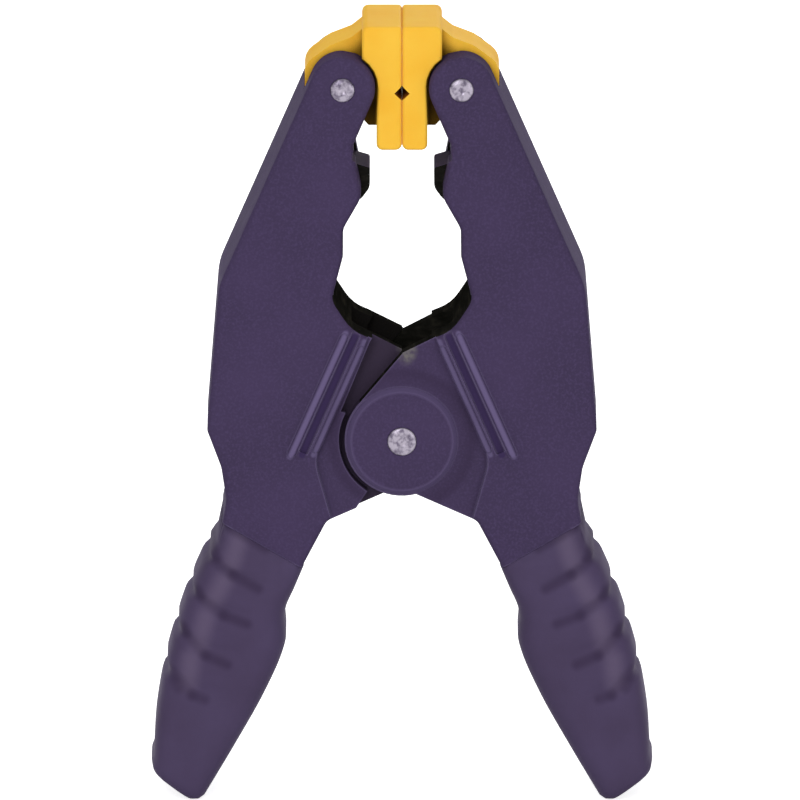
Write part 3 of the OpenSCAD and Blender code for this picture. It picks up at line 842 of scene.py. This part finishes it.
# From the hinge axis to the middle of the wire
COIL_R = 11.3 * MM
COIL_PITCH = 2.8 * MM
COIL_TURNS = 3
COIL_STEPS = 160
LEG_TILT = math.radians(33.8)
LEG_L = 25 * MM
# Fineness of the wire's round section
WIRE_RESOLUTION = 5


def make_spring():
    """Round wire: a leg down each handle and the coil over the hub between them."""
    start = math.pi - LEG_TILT
    sweep = 2 * math.pi * COIL_TURNS + math.pi - 2 * LEG_TILT
    rise = COIL_PITCH * sweep / (2 * math.pi)
    coil = []
    for i in range(COIL_STEPS + 1):
        a = start - sweep * i / COIL_STEPS
        y = rise * (i / COIL_STEPS - 0.5)
        coil.append(PIVOT + Vector((COIL_R * math.cos(a), y, COIL_R * math.sin(a))))
    down = LEG_L * Vector((-math.sin(LEG_TILT), 0, -math.cos(LEG_TILT)))
    path = [coil[0] + down] + coil + [coil[-1] + Vector((-down.x, 0, down.z))]
    curve = bpy.data.curves.new("torsion_spring_wire", "CURVE")
    curve.dimensions = "3D"
    curve.bevel_depth = WIRE_D / 2
    curve.bevel_resolution = WIRE_RESOLUTION
    curve.use_fill_caps = True
    spline = curve.splines.new("POLY")
    spline.points.add(len(path) - 1)
    for point, place in zip(spline.points, path):
        point.co = (*place, 1)
    piece = new_object("torsion_spring_wire", curve, WIRE)
    stand_in(piece, "torsion_spring", "left_half")


# ---- Stage, lights and camera ----

WHITE = (1, 1, 1, 1)
# Strength of the surround that camera and gloss see, and of the even light on the object
BACKDROP = 1.0
AMBIENT = 0.52
# The side that most of the even light comes from
FRONT_SKY = (0.0, -0.83, 0.56)
# How far a direction faces that side, where the light starts to grow and where it is full, and the
# share of AMBIENT at each
SKY_SPAN = (-0.4, 1.0)
SKY_SHARE = (0.5, 1.4)
FLOOR_SIZE = 12
FLOOR_COLOUR = (0.9, 0.9, 0.9, 1)
FLOOR_GLOW = 0.75
# Lamps aimed at the middle of the clamp: name, place, diameter and watts
LAMPS = (
    ("key", (-0.3, -0.75, 0.55), 0.5, 2.5),
    ("fill", (0.6, -0.65, 0.3), 0.6, 1.3),
    ("top", (0.05, 0.25, 0.9), 0.5, 0.8),
    ("back", (0.2, 0.85, 0.45), 0.6, 1.6),
)
VIEW_TILT = math.radians(15)
VIEW_DISTANCE = 6.0
# Width of the picture at the clamp's front, and the place in its middle
FRAME_WIDTH = 169.84 * MM
FRAME_CENTRE = Vector((-0.42 * MM, 0, 85.5 * MM))
# Width of the camera's sensor in mm, which its lens is measured against
SENSOR = 36
# Nearest and farthest that the camera sees
CLIP_NEAR = 0.1
CLIP_FAR = 30


def seen_rays(tree):
    """1 for rays of the camera and those that gloss or glass send on, and 0 for all others."""
    path = tree.nodes.new("ShaderNodeLightPath")
    seen = path.outputs["Is Camera Ray"]
    for name in ("Is Glossy Ray", "Is Transmission Ray"):
        join = tree.nodes.new("ShaderNodeMath")
        join.operation = "MAXIMUM"
        tree.links.new(seen, join.inputs[0])
        tree.links.new(path.outputs[name], join.inputs[1])
        seen = join.outputs[0]
    return seen


def white_world():
    """Soft light on the object, most of it from the front, and a white surround for camera and gloss."""
    world = bpy.data.worlds.new("studio")
    bpy.context.scene.world = world
    world.use_nodes = True
    tree = world.node_tree
    front = tree.nodes.new("ShaderNodeVectorMath")
    front.operation = "DOT_PRODUCT"
    front.inputs[1].default_value = FRONT_SKY
    tree.links.new(tree.nodes.new("ShaderNodeTexCoord").outputs["Generated"], front.inputs[0])
    sky = tree.nodes.new("ShaderNodeMapRange")
    sky.inputs["From Min"].default_value, sky.inputs["From Max"].default_value = SKY_SPAN
    sky.inputs["To Min"].default_value = SKY_SHARE[0] * AMBIENT
    sky.inputs["To Max"].default_value = SKY_SHARE[1] * AMBIENT
    tree.links.new(front.outputs["Value"], sky.inputs["Value"])
    level = tree.nodes.new("ShaderNodeMapRange")
    level.inputs["To Max"].default_value = BACKDROP
    tree.links.new(seen_rays(tree), level.inputs["Value"])
    tree.links.new(sky.outputs["Result"], level.inputs["To Min"])
    background = tree.nodes["Background"]
    background.inputs["Color"].default_value = WHITE
    tree.links.new(level.outputs["Result"], background.inputs["Strength"])


def make_floor():
    """White floor that keeps a soft shadow; its glow is for the camera and gloss alone."""
    bpy.ops.mesh.primitive_plane_add(size=FLOOR_SIZE, location=(0, 0, 0))
    floor = bpy.context.object
    floor.name = "floor"
    s = Shader("white_floor", 0.9, specular=0.0)
    s.set("Base Color", FLOOR_COLOUR)
    s.set("Emission Color", WHITE)
    s.link(s.times(seen_rays(s.tree), FLOOR_GLOW), s.bsdf.inputs["Emission Strength"])
    floor.data.materials.append(s.material)


def make_lamps():
    middle = Vector((0, 0, TOP / 2))
    for name, place, diameter, watts in LAMPS:
        light = bpy.data.lights.new(name, "AREA")
        light.shape = "DISK"
        light.size = diameter
        light.energy = watts
        lamp = bpy.data.objects.new(name, light)
        lamp.location = place
        lamp.rotation_euler = (middle - Vector(place)).to_track_quat("-Z", "Y").to_euler()
        bpy.context.scene.collection.objects.link(lamp)


def make_camera():
    camera = bpy.data.cameras.new("camera")
    camera.sensor_width = SENSOR
    camera.lens = SENSOR * (VIEW_DISTANCE - LEVER_HALF_T) / FRAME_WIDTH
    camera.clip_start = CLIP_NEAR
    camera.clip_end = CLIP_FAR
    holder = bpy.data.objects.new("camera", camera)
    back = Vector((0, -math.cos(VIEW_TILT), math.sin(VIEW_TILT)))
    holder.location = FRAME_CENTRE + VIEW_DISTANCE * back
    holder.rotation_euler = (-back).to_track_quat("-Z", "Y").to_euler()
    bpy.context.scene.collection.objects.link(holder)
    bpy.context.scene.camera = holder


# ---- The scene ----

for hand in ("left", "right"):
    make_lever(hand)
    make_grip(hand)
    make_pad(hand)
make_pins()
make_spring()
white_world()
make_floor()
make_lamps()
make_camera()

bpy.context.scene.view_settings.view_transform = "Standard"
